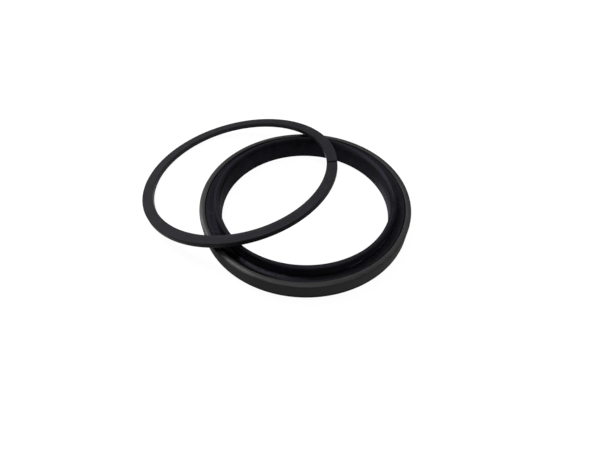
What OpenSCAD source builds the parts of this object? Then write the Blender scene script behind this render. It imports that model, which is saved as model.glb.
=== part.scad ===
// Two-piece ring set lying flat, in millimetres, +Z up.
// The bore ring (outer band with a lip ring bonded inside it) stands on z = 0 around the origin.
// The split ring leans on it: its low edge is on z = 0 and its inner edge rests on the lip's crest.

/* [Outer band] */
// Outside diameter of the band
band_d = 105; // [104:0.5:108]
// Height of the top of the band's rim
band_h = 8.9; // [8.4:0.1:9.6]
// Radial width of the band's rim
band_w = 2.85; // [2:0.05:3.2]
// How much higher the middle of the rim is than its edges
band_crown = 0.25; // [0.1:0.05:0.4]
// Bevel at the foot of the band's wall
band_foot = 0.5; // [0.2:0.05:0.8]

/* [Lip ring] */
// Diameter of the straight bore
bore_d = 85.4; // [85:0.1:86]
// Height of the straight bore wall
bore_h = 5; // [3:0.5:6]
// How far the lip leans in over the bore
lip_lean = 0.4; // [0.1:0.05:0.8]
// Height of the lip's inner edge
lip_edge_h = 9.6; // [9:0.1:10.2]
// Height of the lip's rounded crest
lip_h = 12.2; // [11.8:0.1:13]
// Radius of the middle of the crest
crest_r = 44.15; // [43.9:0.05:44.3]
// Rounding of the crest
tip_r = 1; // [0.7:0.05:1.1]
// Radius at the bottom of the groove behind the lip
groove_r = 45.6; // [45.4:0.05:46]
// Height of the bottom of the groove
groove_h = 5.1; // [4.5:0.1:6]
// Rounding at the bottom of the groove
groove_fillet = 0.5; // [0.3:0.05:0.7]
// Drop from the top of the rim to the top of the sloping flank
flank_drop = 0.4; // [0.35:0.05:0.7]

/* [Split ring] */
// Outside diameter of the split ring
ring_d = 103.4; // [102:0.2:105]
// Radial width of the split ring
ring_w = 5.4; // [5:0.1:6]
// Thickness of the split ring
ring_t = 2.4; // [2:0.1:3]
// Small bevel on the split ring's edges
ring_edge = 0.12; // [0.05:0.01:0.3]
// Width of the cut
cut_gap = 1.1; // [0.4:0.1:2]
// Place of the cut, measured from the ring's highest point
cut_angle = 24.3; // [0:0.1:60]

/* [Resting place] */
// Distance between the two rings' centres
rest_l = 38.4; // [36:0.2:41]
// Direction of the split ring's centre
rest_dir = 155; // [120:1:200]

/* [Hidden] */
$fn = 160;
edge_break = 0.2;
band_r = band_d / 2;
joint_r = band_r - band_w;
bore_r = bore_d / 2;
ring_r = ring_d / 2;
flank_h = band_h - flank_drop;
crease = 0.25;
rim_h = band_h - band_crown;
rim_w = band_w - crease - edge_break;
rim_c = band_r - edge_break - rim_w / 2;
rim_r = (rim_w * rim_w / 4 + band_crown * band_crown) / (2 * band_crown);

// where the straight line from p touches the round of radius r about c, on side s
function touch(p, c, r, s) =
    let (d = c - p, a = atan2(d[1], d[0]) + s * asin(r / norm(d)))
    c + r * [cos(a + s * 90), sin(a + s * 90)];

tip = [crest_r, lip_h - tip_r];
lip_in = [bore_r - lip_lean, lip_edge_h];
groove = [groove_r, groove_h];
flank_top = [joint_r - crease, flank_h];
tip_a = touch(lip_in, tip, tip_r, 1);
tip_b = touch(groove, tip, tip_r, -1);

// the groove's fillet, between the lip's outer side and the flank
up = (tip_b - groove) / norm(tip_b - groove);
out = (flank_top - groove) / norm(flank_top - groove);
half = acos(up * out) / 2;
fillet_c = groove + (up + out) / norm(up + out) * groove_fillet / sin(half);
fillet_a = groove + up * groove_fillet / tan(half);
fillet_b = groove + out * groove_fillet / tan(half);

// the split ring leans until its inner edge meets the crest and its outer edge the floor
foot_r = ring_r - ring_edge;
seat_r = ring_r - ring_w + ring_edge;
seat_h = lip_h + 0.018;
function along(t) =
    let (s = sin(t) * sin(t), b = rest_l * cos(t))
    (sqrt(b * b + s * (rest_l * rest_l + seat_r * seat_r - crest_r * crest_r)) - b) / s;
function lean_at(t, n) = n == 0 ? t : lean_at(asin(seat_h / (foot_r + along(t))), n - 1);
lean = lean_at(10, 40);
echo(lean = lean);

module band_section() {
    polygon([
        [joint_r, 0],
        [band_r - band_foot, 0],
        [band_r, band_foot],
        [band_r, rim_h - edge_break],
        [band_r - edge_break, rim_h],
        [joint_r + crease, rim_h],
        [joint_r, rim_h - crease * 1.5]
    ]);
    intersection() {
        translate([rim_c, band_h - rim_r]) circle(r = rim_r);
        translate([rim_c - rim_w / 2, rim_h - 1]) square([rim_w, 2]);
    }
}

module outer_band() {
    color([0.15, 0.15, 0.15]) rotate_extrude() band_section();
}

module lip_section() {
    polygon([
        [bore_r, 0],
        [joint_r, 0],
        [joint_r, flank_h - crease * 1.5],
        flank_top,
        groove,
        tip_b,
        tip,
        tip_a,
        lip_in + 0.25 * (tip_a - lip_in) / norm(tip_a - lip_in),
        lip_in - [0, 0.12],
        [bore_r, bore_h]
    ]);
    translate(tip) circle(r = tip_r, $fn = 32);
    difference() {
        polygon([groove, fillet_b, fillet_c, fillet_a]);
        translate(fillet_c) circle(r = groove_fillet + 0.004, $fn = 32);
    }
}

module lip_ring() {
    color([0.1, 0.1, 0.12]) rotate_extrude() lip_section();
}

module ring_section() {
    r0 = ring_r - ring_w;
    e = ring_edge;
    polygon([
        [r0 + e, 0], [ring_r - e, 0], [ring_r, e], [ring_r, ring_t - e],
        [ring_r - e, ring_t], [r0 + e, ring_t], [r0, ring_t - e], [r0, e]
    ]);
}

module split_ring() {
    color([0.18, 0.18, 0.2])
        translate([rest_l * cos(rest_dir), rest_l * sin(rest_dir), foot_r * sin(lean)])
            rotate([0, 0, rest_dir - 180]) rotate([0, -lean, 0])
                difference() {
                    rotate_extrude() ring_section();
                    rotate([0, 0, cut_angle]) translate([ring_r - ring_w - 1, -cut_gap / 2, -1])
                        cube([ring_w + 2, cut_gap, ring_t + 2]);
                }
}

outer_band();
lip_ring();
split_ring();
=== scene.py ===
import math
import bpy
from mathutils import Matrix, Vector


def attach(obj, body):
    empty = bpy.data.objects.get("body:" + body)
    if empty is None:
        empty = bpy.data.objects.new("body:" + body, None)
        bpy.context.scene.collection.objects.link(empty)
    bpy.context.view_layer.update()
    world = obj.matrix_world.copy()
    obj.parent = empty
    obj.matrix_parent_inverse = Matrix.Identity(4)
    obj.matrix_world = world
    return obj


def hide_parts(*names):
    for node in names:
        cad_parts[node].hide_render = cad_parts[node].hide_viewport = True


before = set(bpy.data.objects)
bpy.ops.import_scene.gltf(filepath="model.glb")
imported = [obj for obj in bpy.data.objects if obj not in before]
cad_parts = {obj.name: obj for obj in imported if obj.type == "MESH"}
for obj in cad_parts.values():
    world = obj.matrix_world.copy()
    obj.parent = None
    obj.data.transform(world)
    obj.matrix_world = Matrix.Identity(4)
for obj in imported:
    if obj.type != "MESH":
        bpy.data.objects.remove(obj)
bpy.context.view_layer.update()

MM = 0.001

# ------------------------------------------------------------------ sizes, in millimetres, as in the CAD model
BAND_R, BAND_H, BAND_W, BAND_FOOT = 52.5, 8.9, 2.85, 0.5
CROWN, CREASE, EDGE = 0.25, 0.25, 0.2
JOINT_R = BAND_R - BAND_W
RIM_W = BAND_W - CREASE - EDGE
RIM_C = BAND_R - EDGE - RIM_W / 2
RIM_R = (RIM_W ** 2 / 4 + CROWN ** 2) / (2 * CROWN)
BORE_R, BORE_H = 42.7, 5.0
LIP_IN = (42.3, 9.6)
TIP, TIP_R = (44.15, 11.2), 1.0
GROOVE, GROOVE_FILLET = (45.6, 5.1), 0.5
FLANK_H = 8.5
RING_R, RING_W, RING_T, RING_EDGE = 51.7, 5.4, 2.4, 0.12
CUT_GAP, CUT_ANGLE = 1.1, math.radians(24.3)
REST_L, REST_DIR = 38.4, math.radians(155.0)

# the split ring's lean: inner edge on the lip's crest, outer edge on the floor
FOOT_R = RING_R - RING_EDGE
SEAT_R = RING_R - RING_W + RING_EDGE
lean = math.radians(10)
for _ in range(40):
    s2, b = math.sin(lean) ** 2, REST_L * math.cos(lean)
    along = (math.sqrt(b * b + s2 * (REST_L ** 2 + SEAT_R ** 2 - TIP[0] ** 2)) - b) / s2
    lean = math.asin((TIP[1] + TIP_R + 0.018) / (FOOT_R + along))
RING_PLACE = (
    Matrix.Translation(Vector((REST_L * math.cos(REST_DIR), REST_L * math.sin(REST_DIR), FOOT_R * math.sin(lean))) * MM)
    @ Matrix.Rotation(REST_DIR - math.pi, 4, "Z")
    @ Matrix.Rotation(-lean, 4, "Y")
)

# ------------------------------------------------------------------ camera
ELEV = math.radians(47.1349)
DIST = 3.7130 * BAND_R * MM
FOCAL = 373.855       # in pixels of an image 600 wide
ROLL = math.radians(-1.1410)
TX, TY = 304.95, 208.68


def make_camera():
    d = Vector((0, math.cos(ELEV), -math.sin(ELEV)))
    right = Vector((1, 0, 0))
    down = d.cross(right)
    r2 = right * math.cos(ROLL) + down * math.sin(ROLL)
    d2 = -right * math.sin(ROLL) + down * math.cos(ROLL)
    base = Matrix((r2, d2, d))
    o = Vector(((TX - 300) / FOCAL, (TY - 225) / FOCAL, 1)).normalized()
    m = Vector((0, 0, 1)).rotation_difference(o).to_matrix() @ base
    cam = bpy.data.cameras.new("camera")
    cam.sensor_width = 36
    cam.lens = FOCAL * 36 / 600
    cam.clip_start = 0.005
    cam.clip_end = 20
    ob = bpy.data.objects.new("camera", cam)
    bpy.context.scene.collection.objects.link(ob)
    rot = Matrix((m[0], -m[1], -m[2])).transposed()
    ob.matrix_world = Matrix.Translation(-d * DIST) @ rot.to_4x4()
    bpy.context.scene.camera = ob


make_camera()


# ------------------------------------------------------------------ profiles
def touch(p, c, r, s):
    """Where the straight line from p touches the round of radius r about c, on side s."""
    dx, dy = c[0] - p[0], c[1] - p[1]
    a = math.atan2(dy, dx) + s * math.asin(r / math.hypot(dx, dy))
    return (c[0] + r * math.cos(a + s * math.pi / 2), c[1] + r * math.sin(a + s * math.pi / 2))


def rounded(corners, hold=0.14):
    """A closed outline from (r, z, rounding, steps) corners, with a holding point on each side of every round."""
    n = len(corners)
    tang = []
    for i, (x, y, rad, steps) in enumerate(corners):
        p, a, b = Vector((x, y)), Vector(corners[i - 1][:2]), Vector(corners[(i + 1) % n][:2])
        u, v = (a - p).normalized(), (b - p).normalized()
        half = math.acos(max(-1, min(1, u.dot(v)))) / 2
        if rad <= 0 or half > math.radians(89.5):
            tang.append((p, p, p, 0, 0))
            continue
        t = rad / math.tan(half)
        c = p + (u + v).normalized() * (rad / math.sin(half))
        tang.append((p + u * t, p + v * t, c, rad, steps))
    out = []
    for i in range(n):
        s, e, c, rad, steps = tang[i]
        if rad == 0:
            out.append(tuple(s))
        else:
            a0 = math.atan2(s[1] - c[1], s[0] - c[0])
            a1 = math.atan2(e[1] - c[1], e[0] - c[0])
            d = (a1 - a0 + math.pi) % (2 * math.pi) - math.pi
            for k in range(steps + 1):
                a = a0 + d * k / steps
                out.append((c[0] + rad * math.cos(a), c[1] + rad * math.sin(a)))
        # holding points on the edge to the next corner
        q0, q1 = Vector(out[-1]), Vector(tang[(i + 1) % n][0])
        length = (q1 - q0).length
        if length > 3 * hold:
            d = (q1 - q0) / length
            out.append(tuple(q0 + d * hold))
            if length > 3:
                for k in range(1, 4):
                    out.append(tuple(q0 + d * (hold + (length - 2 * hold) * k / 4)))
            out.append(tuple(q1 - d * hold))
    return out


def revolve(name, outline, steps=600, start=0.0, turn=2 * math.pi, place=None):
    """A ring swept round +Z from a closed (r, z) outline in millimetres, then put in place. A part turn gets flat ends."""
    whole = abs(turn - 2 * math.pi) < 1e-9
    cols = steps if whole else steps + 1
    n = len(outline)
    verts = []
    for i in range(cols):
        a = start + turn * i / steps
        ca, sa = math.cos(a), math.sin(a)
        verts += [(r * ca * MM, r * sa * MM, z * MM) for r, z in outline]
    faces = []
    for i in range(steps):
        j = (i + 1) % cols
        for k in range(n):
            m = (k + 1) % n
            faces.append((i * n + k, j * n + k, j * n + m, i * n + m))
    if not whole:
        faces.append(tuple(range(n)))
        faces.append(tuple(reversed(range(steps * n, steps * n + n))))
    me = bpy.data.meshes.new(name)
    me.from_pydata(verts, [], faces)
    me.validate()
    if place is not None:
        me.transform(place)
    ob = bpy.data.objects.new(name, me)
    bpy.context.scene.collection.objects.link(ob)
    me.polygons.foreach_set("use_smooth", [len(p.vertices) == 4 for p in me.polygons])
    me.update()
    return ob


def outward(ob):
    """Turns the faces so that they look outward."""
    import bmesh
    bm = bmesh.new()
    bm.from_mesh(ob.data)
    bmesh.ops.recalc_face_normals(bm, faces=bm.faces)
    bm.to_mesh(ob.data)
    bm.free()


# the outer band, with its crowned rim
def rim_z(r):
    return BAND_H - RIM_R + math.sqrt(RIM_R ** 2 - (r - RIM_C) ** 2)


crown = [(BAND_R - 0.45 - (BAND_W - 0.9) * k / 14, 0) for k in range(15)]
band = revolve("band_detail", rounded([
    (JOINT_R, 0.0, 0.05, 3),
    (BAND_R - BAND_FOOT, 0.0, 0.15, 4),
    (BAND_R, BAND_FOOT, 0.15, 4),
    (BAND_R, rim_z(BAND_R - 0.1), 0.26, 7),
    *[(r, rim_z(r), 0, 0) for r, _ in crown],
    (JOINT_R + 0.17, rim_z(JOINT_R + 0.25), 0.16, 6),
    (JOINT_R, BAND_H - 0.85, 0.0, 0),
]))
outward(band)
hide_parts("outer_band")

# the lip ring
tip_a = touch(LIP_IN, TIP, TIP_R, 1)
tip_b = touch(GROOVE, TIP, TIP_R, -1)
a0 = math.atan2(tip_b[1] - TIP[1], tip_b[0] - TIP[0])
a1 = math.atan2(tip_a[1] - TIP[1], tip_a[0] - TIP[0])
crest = [(TIP[0] + TIP_R * math.cos(a0 + (a1 - a0) * k / 12), TIP[1] + TIP_R * math.sin(a0 + (a1 - a0) * k / 12), 0, 0)
         for k in range(13)]
lip = revolve("lip_detail", rounded([
    (BORE_R, 0.0, 0.10, 3),
    (JOINT_R, 0.0, 0.05, 3),
    (JOINT_R, FLANK_H - 0.45, 0.0, 0),
    (JOINT_R - 0.2, FLANK_H - 0.02, 0.14, 6),
    (GROOVE[0], GROOVE[1], GROOVE_FILLET, 8),
    *crest,
    (LIP_IN[0], LIP_IN[1], 0.16, 5),
    (BORE_R, BORE_H, 2.0, 4),
]))
outward(lip)
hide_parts("lip_ring")

# the split ring
e = RING_EDGE
r0 = RING_R - RING_W
half_gap = CUT_GAP / 2 / (RING_R - RING_W / 2)
split = revolve("split_detail", rounded([
    (r0, 0.0, e, 4), (RING_R, 0.0, e, 4), (RING_R, RING_T, 0.24, 5), (r0, RING_T, 0.24, 5),
]), steps=700, start=CUT_ANGLE + half_gap, turn=2 * math.pi - 2 * half_gap, place=RING_PLACE)
outward(split)
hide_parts("split_ring")

for piece, name in ((band, "band"), (lip, "lip_rubber"), (split, "split_ring")):
    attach(piece, "root")


# ------------------------------------------------------------------ materials
def new_material(name, gloss):
    mat = bpy.data.materials.new(name)
    mat.use_nodes = True
    nt = mat.node_tree
    b = nt.nodes["Principled BSDF"]
    b.inputs["Specular IOR Level"].default_value = gloss
    return mat, nt, b


def noise(nt, vec, scale, detail=3.0, rough=0.5, dist=0.0):
    n = nt.nodes.new("ShaderNodeTexNoise")
    n.inputs["Scale"].default_value = scale
    n.inputs["Detail"].default_value = detail
    n.inputs["Roughness"].default_value = rough
    n.inputs["Distortion"].default_value = dist
    nt.links.new(vec, n.inputs["Vector"])
    return n.outputs["Fac"]


def span(nt, value, lo, hi, a=0.3, b=0.7):
    n = nt.nodes.new("ShaderNodeMapRange")
    n.inputs["From Min"].default_value = a
    n.inputs["From Max"].default_value = b
    n.inputs["To Min"].default_value = lo
    n.inputs["To Max"].default_value = hi
    nt.links.new(value, n.inputs["Value"])
    return n.outputs["Result"]


def calc(nt, op, x, y=None, z=None):
    n = nt.nodes.new("ShaderNodeMath")
    n.operation = op
    for i, v in enumerate((x, y, z)):
        if v is None:
            continue
        if isinstance(v, (int, float)):
            n.inputs[i].default_value = v
        else:
            nt.links.new(v, n.inputs[i])
    return n.outputs[0]


def polar(nt, place=None):
    """Position in a ring's own axes: the vector, its x, y and z, the radius, and the direction round the ring."""
    tc = nt.nodes.new("ShaderNodeTexCoord")
    sep = nt.nodes.new("ShaderNodeSeparateXYZ")
    own = tc.outputs["Object"]
    if place is not None:
        mp = nt.nodes.new("ShaderNodeMapping")
        mp.vector_type = "TEXTURE"
        mp.inputs["Location"].default_value = place.translation
        mp.inputs["Rotation"].default_value = place.to_euler()
        nt.links.new(own, mp.inputs["Vector"])
        own = mp.outputs["Vector"]
    nt.links.new(own, sep.inputs[0])
    x, y, z = sep.outputs
    r = calc(nt, "SQRT", calc(nt, "ADD", calc(nt, "MULTIPLY", x, x), calc(nt, "MULTIPLY", y, y)))
    cx, cy = calc(nt, "DIVIDE", x, r), calc(nt, "DIVIDE", y, r)
    return own, x, y, z, r, cx, cy


def vec(nt, x, y, z):
    n = nt.nodes.new("ShaderNodeCombineXYZ")
    for i, v in enumerate((x, y, z)):
        if isinstance(v, (int, float)):
            n.inputs[i].default_value = v
        else:
            nt.links.new(v, n.inputs[i])
    return n.outputs[0]


def bump(nt, height, strength, distance, normal=None):
    n = nt.nodes.new("ShaderNodeBump")
    n.inputs["Strength"].default_value = strength
    n.inputs["Distance"].default_value = distance
    nt.links.new(height, n.inputs["Height"])
    if normal is not None:
        nt.links.new(normal, n.inputs["Normal"])
    return n.outputs["Normal"]


def blend(nt, amount, under, over):
    """Mixes two colours; amount is a socket from 0 to 1."""
    n = nt.nodes.new("ShaderNodeMix")
    n.data_type = "RGBA"
    nt.links.new(amount, n.inputs[0])
    for sock, v in ((n.inputs[6], under), (n.inputs[7], over)):
        if isinstance(v, tuple):
            sock.default_value = (*v, 1)
        else:
            nt.links.new(v, sock)
    return n.outputs[2]


def ease(nt, value, a, b, lo=0.0, hi=1.0):
    """Runs from lo to hi with a soft start and end while value runs from a to b."""
    n = nt.nodes.new("ShaderNodeMapRange")
    n.interpolation_type = "SMOOTHSTEP"
    n.inputs["From Min"].default_value = a
    n.inputs["From Max"].default_value = b
    n.inputs["To Min"].default_value = lo
    n.inputs["To Max"].default_value = hi
    nt.links.new(value, n.inputs["Value"])
    return n.outputs["Result"]


def times(nt, *vals):
    out = vals[0]
    for v in vals[1:]:
        out = calc(nt, "MULTIPLY", out, v)
    return out


def scaled(nt, color, factor):
    """A colour times a number."""
    n = nt.nodes.new("ShaderNodeVectorMath")
    n.operation = "SCALE"
    if isinstance(color, tuple):
        n.inputs[0].default_value = color
    else:
        nt.links.new(color, n.inputs[0])
    nt.links.new(factor, n.inputs["Scale"])
    return n.outputs[0]


def direction(nt, x, y):
    """Direction round the ring's axis, in degrees from -180 to 180."""
    return calc(nt, "MULTIPLY", calc(nt, "ARCTAN2", y, x), 180 / math.pi)


def near(nt, value, centre, half, soft=0.0):
    """1 where value is within half of centre, falling softly to 0 over soft more. Centre may be a socket."""
    d = calc(nt, "ABSOLUTE", calc(nt, "SUBTRACT", value, centre))
    return ease(nt, d, half, half + max(soft, 1e-6), 1.0, 0.0)


def blend_value(nt, amount, under, over):
    """under where amount is 0 and over where it is 1, for numbers."""
    n = nt.nodes.new("ShaderNodeMix")
    n.data_type = "FLOAT"
    nt.links.new(amount, n.inputs[0])
    for sock, v in ((n.inputs[2], under), (n.inputs[3], over)):
        if isinstance(v, (int, float)):
            sock.default_value = v
        else:
            nt.links.new(v, sock)
    return n.outputs[0]


def total(nt, vals):
    out = vals[0]
    for v in vals[1:]:
        out = calc(nt, "ADD", out, v)
    return out


def band_material(name, gloss, tone, rough):
    """Hard satin plastic: fine grain and faint cloudiness, a dark joint of dirt with painted shade of the crease, a
    darker line under the rim's edge, painted shade at the foot, and painted highlights and shadow on the rim.
    """
    mat, nt, b = new_material(name, gloss)
    o, x, y, z, r, cx, cy = polar(nt)
    rm, zm = calc(nt, "MULTIPLY", r, 1000), calc(nt, "MULTIPLY", z, 1000)
    fine = noise(nt, o, 2600, 2, 0.6)
    mid = noise(nt, o, 420, 3, 0.6)
    wide = noise(nt, o, 60, 2, 0.5)
    level = total(nt, [span(nt, fine, 0.84, 1.16), span(nt, mid, -0.12, 0.12), span(nt, wide, -0.06, 0.06)])
    deg = direction(nt, x, y)
    turned = direction(nt, calc(nt, "MULTIPLY", x, -1), calc(nt, "MULTIPLY", y, -1))
    # the dark joint, dirt with painted shade of the crease, is thin at the right; the rim is darker next to it at the
    # back
    shifted = total(nt, [calc(nt, "MULTIPLY_ADD", cy, -0.12, rm), times(nt, near(nt, deg, 33.0, 18.0, 14.0), 0.16)])
    joint = ease(nt, shifted, JOINT_R + 0.10, JOINT_R + 0.30, 0.10, 1.0)
    back_rim_darker = times(nt, near(nt, deg, 112.0, 18.0, 36.0), ease(nt, rm, JOINT_R + 0.35, JOINT_R + 1.45, -0.55, 0.0))
    # painted shade at the foot of the wall
    foot = ease(nt, zm, 0.6, 2.9, 0.32, 1.0)
    wall = ease(nt, rm, BAND_R - 0.1, BAND_R - 0.02)
    # painted highlight at the far left of the rim, painted shadow where the split ring crosses it, and slightly darker
    # on its outer part at the front
    marks = total(nt, [
        back_rim_darker,
        times(nt, near(nt, turned, 15.0, 13.0, 14.0), ease(nt, rm, 50.8, 51.3, 0.42, 0.0)),
        times(nt, near(nt, deg, -136.5, 3.5, 4.0), ease(nt, rm, 50.7, 51.2), -0.5),
        times(nt, near(nt, deg, -85.0, 10.0, 12.0), ease(nt, rm, 51.3, 51.7), ease(nt, rm, 52.2, 52.4, 1.0, 0.0), -0.12),
    ])
    # a darker line just under the rim's edge along the front
    seen = times(nt, ease(nt, deg, -158.0, -146.0), ease(nt, deg, 10.0, 40.0, 1.0, 0.0))
    edge = calc(nt, "MULTIPLY_ADD", times(nt, near(nt, zm, BAND_H - 0.62, 0.12, 0.22), wall, seen), -0.35, 1.0)
    # a painted highlight on the rim at the front left, where the rim is also a little smoother
    polish_and_highlight = times(nt, near(nt, deg, -126.0, 6.0, 10.0), near(nt, rm, 51.4, 0.7, 0.5))
    painted_rim_highlight = times(nt, polish_and_highlight, ease(nt, rm, 51.5, 52.0, 0.9, 1.6))
    bright = total(nt, [calc(nt, "ADD", painted_rim_highlight, 1.0), marks])
    nt.links.new(scaled(nt, tone, times(nt, level, joint, foot, edge, bright)), b.inputs["Base Color"])
    smooth = ease(nt, rm, BAND_R - 0.3, BAND_R - 0.05, rough, 0.68)
    dull = ease(nt, rm, JOINT_R + 0.15, JOINT_R + 0.5, 0.35, 0.0)
    nt.links.new(total(nt, [smooth, dull, span(nt, mid, -0.04, 0.04), times(nt, polish_and_highlight, -0.05)]), b.inputs["Roughness"])
    n1 = bump(nt, fine, 0.35, 0.00004)
    nt.links.new(bump(nt, mid, 0.25, 0.00008, n1), b.inputs["Normal"])
    return mat


# fine scratches across the flank: direction at the middle of the flank, slope in degrees per mm, half width, strength
SCRATCHES = (
    (-169.4, -0.9, 0.16, 0.8), (-168.2, -0.2, 0.22, 1.4), (-166.9, 0.5, 0.14, 0.8), (-161.9, -0.8, 0.15, 0.8),
    (-161.0, -0.4, 0.20, 1.1), (-156.3, 0.2, 0.14, 0.6), (-152.4, 0.3, 0.22, 1.3), (-1.2, -1.6, 0.18, 1.1),
    (-4.6, -1.0, 0.14, 0.8), (-9.4, 0.6, 0.14, 0.6), (-15.2, -0.3, 0.14, 0.6), (118.3, 0.8, 0.16, 0.7), (64.6, -0.6, 0.16, 0.7),
)


def lip_material():
    """Black rubber with a bluish cast: cloudy bore, scratched flank with some dust, and painted light, shade,
    highlights and glints, with a painted shadow of the split ring, on the flank, lip and bore.
    """
    mat, nt, b = new_material("lip_rubber", 0.008)
    o, x, y, z, r, cx, cy = polar(nt)
    deg = direction(nt, x, y)
    # the same direction measured from the far left, without a jump there
    turned = direction(nt, calc(nt, "MULTIPLY", x, -1), calc(nt, "MULTIPLY", y, -1))
    rm, zm = calc(nt, "MULTIPLY", r, 1000), calc(nt, "MULTIPLY", z, 1000)
    fine = noise(nt, o, 1800, 3, 0.6)
    mid = noise(nt, o, 330, 3, 0.6)
    wide = noise(nt, o, 130, 2, 0.5)
    other = noise(nt, vec(nt, calc(nt, "ADD", x, 0.31), y, z), 300, 2, 0.55)
    inner = ease(nt, rm, 42.9, 43.3, 1.0, 0.0)
    flank = ease(nt, rm, 45.9, 46.4)
    # painted shade: the bore and the lip's inner side are darker toward the top
    dark = blend_value(nt, inner, 1.0, ease(nt, zm, 3.0, 8.5, 0.85, 0.55))
    # the flank darkens toward the joint: dirt with painted shade of the crease
    edge = ease(nt, rm, JOINT_R - 0.42, JOINT_R - 0.16, 1.0, 0.12)
    # dust with painted light on the left of the flank, painted light along its front, a painted pool of key light low
    # on it at the front left with a slanted shadow edge, and painted shadow of the split ring on its outer part
    front = times(nt, ease(nt, deg, -114.0, -106.0), ease(nt, deg, -26.0, -6.0, 1.0, 0.0))
    left = ease(nt, cx, -0.55, -0.92)
    dust_and_painted_light = total(nt, [
        times(nt, left, flank, calc(nt, "MULTIPLY_ADD", ease(nt, rm, 47.6, 48.4), 0.3, 0.72)),
        times(nt, front, flank, ease(nt, rm, 47.2, 48.2, 1.0, 0.1), 0.55),
        times(nt, near(nt, deg, -86.0, 12.0, 14.0), ease(nt, rm, 48.7, 49.1), 0.5),
    ])
    slant = calc(nt, "MULTIPLY_ADD", rm, -0.6, deg)
    low = ease(nt, rm, 46.2, 47.6, 1.0, 0.0)
    painted_light_pool = times(nt, ease(nt, slant, -157.0, -152.5), ease(nt, deg, -112.0, -100.0, 1.0, 0.78), ease(nt, deg, -98.0, -84.0, 1.0, 0.0),
                  ease(nt, rm, 47.4, 48.7, 1.0, 0.0), ease(nt, rm, 45.4, 45.8), calc(nt, "MULTIPLY_ADD", low, 2.2, 1.5))
    shade = times(nt, ease(nt, deg, -150.0, -130.0), ease(nt, deg, -112.0, -96.0, 1.0, 0.0), ease(nt, rm, 47.9, 48.6), -0.85)
    # painted shadow under the split ring on the flank, deepest near the groove
    painted_ring_shadow = times(nt, ease(nt, deg, -153.0, -146.5), ease(nt, deg, -131.0, -127.0, 1.0, 0.0),
                   ease(nt, rm, 45.2, 45.6), calc(nt, "MULTIPLY_ADD", ease(nt, rm, 47.0, 48.4), 0.6, -1.15))
    marks = []
    for at, slope, half, power in SCRATCHES:
        line = calc(nt, "MULTIPLY_ADD", rm, slope, at - 47.6 * slope)
        marks.append(times(nt, near(nt, deg, line, half * 0.4, half), power * 1.3))
    scratched = times(nt, total(nt, marks), ease(nt, rm, 46.0, 46.5), ease(nt, rm, 48.9, 49.3, 1.0, 0.0))
    # painted light on the lip: painted light and shade on its outer side at the front, painted highlights on its outer
    # side at the far left and in the groove at the front left, painted glints on its outer side, and a painted
    # highlight on the crest at the right
    outer = near(nt, rm, 45.4, 0.25, 0.1)
    painted_front_shading = times(nt, near(nt, rm, 45.45, 0.4, 0.15), ease(nt, cy, -0.1, -0.5), ease(nt, zm, 8.0, 10.0, 0.35, -0.3))
    painted_outer_highlights = total(nt, [
        times(nt, outer, ease(nt, deg, -179.0, -165.0), ease(nt, deg, -150.0, -138.0, 1.0, 0.0), 0.8),
        times(nt, near(nt, rm, 45.7, 0.5, 0.3), ease(nt, zm, 6.2, 7.2, 1.0, 0.0), near(nt, deg, -113.5, 12.5, 4.0), 4.5),
    ])
    painted_glints = times(nt, outer, total(nt, [
        times(nt, near(nt, deg, -60.0, 2.6, 3.4), near(nt, zm, calc(nt, "MULTIPLY_ADD", deg, 0.055, 10.8), 0.25, 0.75), 3.2),
        times(nt, near(nt, deg, -38.2, 2.2, 3.0), near(nt, zm, calc(nt, "MULTIPLY_ADD", deg, 0.05, 9.8), 0.2, 0.7), 2.0),
        times(nt, near(nt, deg, -127.0, 1.0, 2.0), near(nt, zm, 8.8, 0.3, 0.7), 0.5),
    ]))
    painted_crest_highlight = times(nt, near(nt, deg, 31.0, 24.0, 18.0), near(nt, rm, 43.1, 0.45, 0.3), ease(nt, zm, 9.6, 10.4), 1.1)
    # painted light and shade on the crest: darker at the right and at the front left, painted highlights at the front
    # and at the far left
    top = ease(nt, zm, 10.2, 10.8)
    painted_crest_shading = total(nt, [
        times(nt, near(nt, deg, 12.0, 40.0, 16.0), ease(nt, rm, 43.7, 44.0), -0.35),
        times(nt, near(nt, deg, -82.0, 15.0, 10.0), near(nt, rm, 44.95, 0.15, 0.12), 0.9),
        times(nt, near(nt, deg, -70.0, 15.0, 10.0), near(nt, rm, 44.6, 0.15, 0.12), 0.35),
        times(nt, near(nt, deg, 4.0, 10.0, 10.0), near(nt, rm, 43.45, 0.3, 0.25), -0.35),
        times(nt, ease(nt, deg, -160.0, -148.0), ease(nt, deg, -118.0, -108.0, 1.0, 0.0), ease(nt, rm, 44.7, 44.9), -0.4),
        times(nt, ease(nt, cx, -0.93, -0.98), ease(nt, rm, 43.0, 43.5, 1.0, 0.0), 0.8),
        times(nt, near(nt, deg, 86.0, 10.0, 10.0), ease(nt, rm, 43.0, 43.3), -0.2),
    ])
    # painted highlights and shade along the lip's inner edge
    painted_lip_edge_shading = total(nt, [
        times(nt, near(nt, deg, 29.0, 12.0, 10.0), near(nt, rm, 43.0, 0.2, 0.15), 0.9),
        times(nt, near(nt, deg, 24.0, 20.0, 10.0), ease(nt, rm, 42.6, 42.9, 1.0, 0.0), -0.5),
        times(nt, near(nt, turned, -12.0, 8.0, 8.0), ease(nt, rm, 43.0, 43.4, 1.0, 0.0), -0.15),
        times(nt, near(nt, deg, -162.0, 6.0, 8.0), ease(nt, rm, 42.7, 43.3, 1.0, 0.15), 1.3),
    ])
    painted_crest_shading = total(nt, [times(nt, painted_crest_shading, top), times(nt, painted_lip_edge_shading, ease(nt, zm, 9.5, 10.0))])
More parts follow.
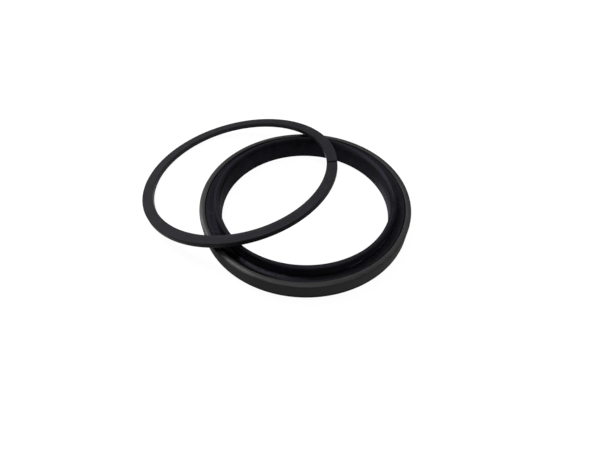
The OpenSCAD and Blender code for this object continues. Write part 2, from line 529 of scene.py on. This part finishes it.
    # painted light and shade on the bore: a painted reflection low at the right, and painted shade up the left
    painted_bore_shading = total(nt, [
        times(nt, near(nt, deg, 4.0, 12.0, 14.0), ease(nt, zm, 1.5, 7.0, 1.0, 0.1), inner, 2.9),
        times(nt, near(nt, deg, 4.0, 8.0, 8.0), ease(nt, zm, 6.5, 7.5), inner, -0.35),
        times(nt, near(nt, turned, -4.0, 4.0, 10.0), ease(nt, zm, 2.0, 5.0, 0.4, -0.25), inner),
        times(nt, near(nt, deg, 32.0, 18.0, 18.0), inner, 0.6),
        times(nt, ease(nt, cx, -0.88, -0.97), ease(nt, zm, 4.0, 8.0), ease(nt, zm, 9.4, 9.8, 1.0, 0.0), inner, -0.3),
    ])
    level = total(nt, [
        span(nt, fine, 0.90, 1.10), times(nt, span(nt, mid, -1, 1), calc(nt, "MULTIPLY_ADD", inner, 0.16, 0.10)),
        times(nt, span(nt, wide, -1, 1), calc(nt, "MULTIPLY_ADD", inner, 0.16, 0.08)), dust_and_painted_light, painted_light_pool, shade, painted_ring_shadow, scratched, painted_glints, painted_front_shading, painted_outer_highlights, painted_crest_highlight, painted_crest_shading, painted_bore_shading,
    ])
    tint = blend(nt, span(nt, other, 0, 1, 0.38, 0.62), (0.0094, 0.0095, 0.0112), (0.0093, 0.0089, 0.0128))
    level = calc(nt, "MAXIMUM", level, 0.25)
    nt.links.new(scaled(nt, tint, times(nt, level, dark, edge)), b.inputs["Base Color"])
    nt.links.new(span(nt, mid, 0.50, 0.60), b.inputs["Roughness"])
    nt.links.new(bump(nt, fine, 0.25, 0.00004), b.inputs["Normal"])
    return mat


def split_material():
    """Grey plastic with a lilac cast: satin, with cloudy flat faces, painted shade on the outer side, painted light on
    the shinier inner side, and painted highlight and shade on the face.
    """
    mat, nt, b = new_material("split_satin", 0.045)
    o, x, y, z, r, cx, cy = polar(nt, RING_PLACE)
    rm = calc(nt, "MULTIPLY", r, 1000)
    fine = noise(nt, o, 2200, 2, 0.6)
    mid = noise(nt, o, 420, 3, 0.6)
    wide = noise(nt, o, 170, 2, 0.5)
    other = noise(nt, vec(nt, calc(nt, "ADD", x, 0.27), y, z), 380, 2, 0.55)
    outside = ease(nt, rm, RING_R - 0.10, RING_R - 0.03)
    inside = ease(nt, rm, RING_R - RING_W + 0.03, RING_R - RING_W + 0.10, 1.0, 0.0)
    # painted light: the outer side is less dark along the low front, most of all at its foot; the face has a painted
    # highlight along its inner edge at the front and painted shade toward its inner edge at the back, and is lighter at
    # two places and darker at one along its outer edge
    deg = direction(nt, x, y)
    low = times(nt, near(nt, deg, -128.0, 26.0, 22.0), outside)
    level = total(nt, [
        span(nt, fine, 0.90, 1.14), span(nt, mid, -0.24, 0.24), span(nt, wide, -0.16, 0.16),
        # painted shade darkens the outer side and painted light lightens the inner side
        times(nt, outside, -0.36), times(nt, inside, 0.75),
        times(nt, low, ease(nt, calc(nt, "MULTIPLY", z, 1000), 0.4, 1.8, 0.42, 0.16)),
        times(nt, near(nt, deg, -35.0, 32.0, 26.0), ease(nt, rm, 47.0, 48.6, 0.42, 0.0)),
        times(nt, near(nt, deg, 98.0, 36.0, 28.0), ease(nt, rm, 47.2, 50.2, -0.24, 0.0), ease(nt, inside, 0.0, 1.0, 1.0, 0.0)),
        times(nt, near(nt, deg, -66.0, 12.0, 8.0), ease(nt, rm, 51.0, 51.2), ease(nt, rm, 51.55, 51.6, 1.0, 0.0), -0.30),
        times(nt, near(nt, deg, -27.0, 7.0, 6.0), ease(nt, rm, 51.0, 51.2), ease(nt, rm, 51.55, 51.6, 1.0, 0.0), 0.45),
        times(nt, near(nt, deg, 38.0, 9.0, 8.0), ease(nt, rm, 51.0, 51.2), ease(nt, rm, 51.55, 51.6, 1.0, 0.0), 0.40),
        # the inner side is darker at one place
        times(nt, near(nt, deg, 42.0, 14.0, 8.0), inside, -0.8),
    ])
    tint = blend(nt, span(nt, other, 0, 1, 0.36, 0.64), (0.0080, 0.0080, 0.0087), (0.0079, 0.0072, 0.0108))
    nt.links.new(scaled(nt, tint, level), b.inputs["Base Color"])
    nt.links.new(total(nt, [span(nt, mid, 0.56, 0.62), times(nt, outside, -0.12), times(nt, inside, -0.26)]), b.inputs["Roughness"])
    nt.links.new(bump(nt, fine, 0.25, 0.00004), b.inputs["Normal"])
    return mat


for piece, mats in (
    (band, (band_material("band_wall", 0.03, (0.0160, 0.0160, 0.0162), 0.68), band_material("band_rim", 0.073, (0.0172, 0.0172, 0.0174), 0.32))),
    (lip, (lip_material(),)),
    (split, (split_material(),)),
):
    piece.data.materials.clear()
    for mat in mats:
        piece.data.materials.append(mat)
for f in band.data.polygons:
    f.material_index = int(f.center.z > (BAND_H - 1.0) * MM and math.hypot(f.center.x, f.center.y) < (BAND_R - 0.08) * MM)


# ------------------------------------------------------------------ floor and light
def make_floor():
    me = bpy.data.meshes.new("floor")
    s = 6.0
    me.from_pydata([(-s, -s, 0), (s, -s, 0), (s, s, 0), (-s, s, 0)], [], [(0, 1, 2, 3)])
    ob = bpy.data.objects.new("floor", me)
    bpy.context.scene.collection.objects.link(ob)
    mat, nt, b = new_material("floor", 0.1)
    b.inputs["Base Color"].default_value = (0.05, 0.05, 0.05, 1)
    b.inputs["Roughness"].default_value = 0.9
    b.inputs["Emission Color"].default_value = (1, 1, 1, 1)
    b.inputs["Emission Strength"].default_value = 0.96
    me.materials.append(mat)


def area(name, where, size, power, target=(0, 0, 0)):
    li = bpy.data.lights.new(name, "AREA")
    li.shape = "DISK"
    li.size = size
    li.energy = power
    ob = bpy.data.objects.new(name, li)
    bpy.context.scene.collection.objects.link(ob)
    ob.location = where
    ob.rotation_euler = (Vector(target) - Vector(where)).to_track_quat("-Z", "Y").to_euler()
    return ob


make_floor()


def make_surround(pale, low, high):
    """A pale surround down at the horizon that fades out between two heights, in degrees."""
    world = bpy.data.worlds.new("world")
    bpy.context.scene.world = world
    world.use_nodes = True
    nt = world.node_tree
    tc = nt.nodes.new("ShaderNodeTexCoord")
    sep = nt.nodes.new("ShaderNodeSeparateXYZ")
    nt.links.new(tc.outputs["Generated"], sep.inputs[0])
    bg = nt.nodes["Background"]
    bg.inputs["Color"].default_value = (1, 1, 1, 1)
    fade = ease(nt, sep.outputs[2], math.sin(math.radians(low)), math.sin(math.radians(high)), pale, 0.0)
    nt.links.new(fade, bg.inputs["Strength"])


make_surround(1.0, 3.0, 34.0)


def softbox(name, azimuth, height, power, size=0.5, far=1.1):
    a, e = math.radians(azimuth), math.radians(height)
    area(name, (far * math.cos(e) * math.cos(a), far * math.cos(e) * math.sin(a), far * math.sin(e)), size, power)


softbox("key_low", 144, 36, 5.7, size=0.16)
softbox("key_mid", 128, 50, 6.9, size=0.16)
softbox("key_high", 132, 64, 3.9, size=0.16)
softbox("right", 0, 16, 3.7)
softbox("back_right", 45, 48, 1.3)
softbox("back", 90, 48, 1.6)
softbox("top", 0, 90, 4.4)
bpy.context.scene.view_settings.view_transform = "Standard"
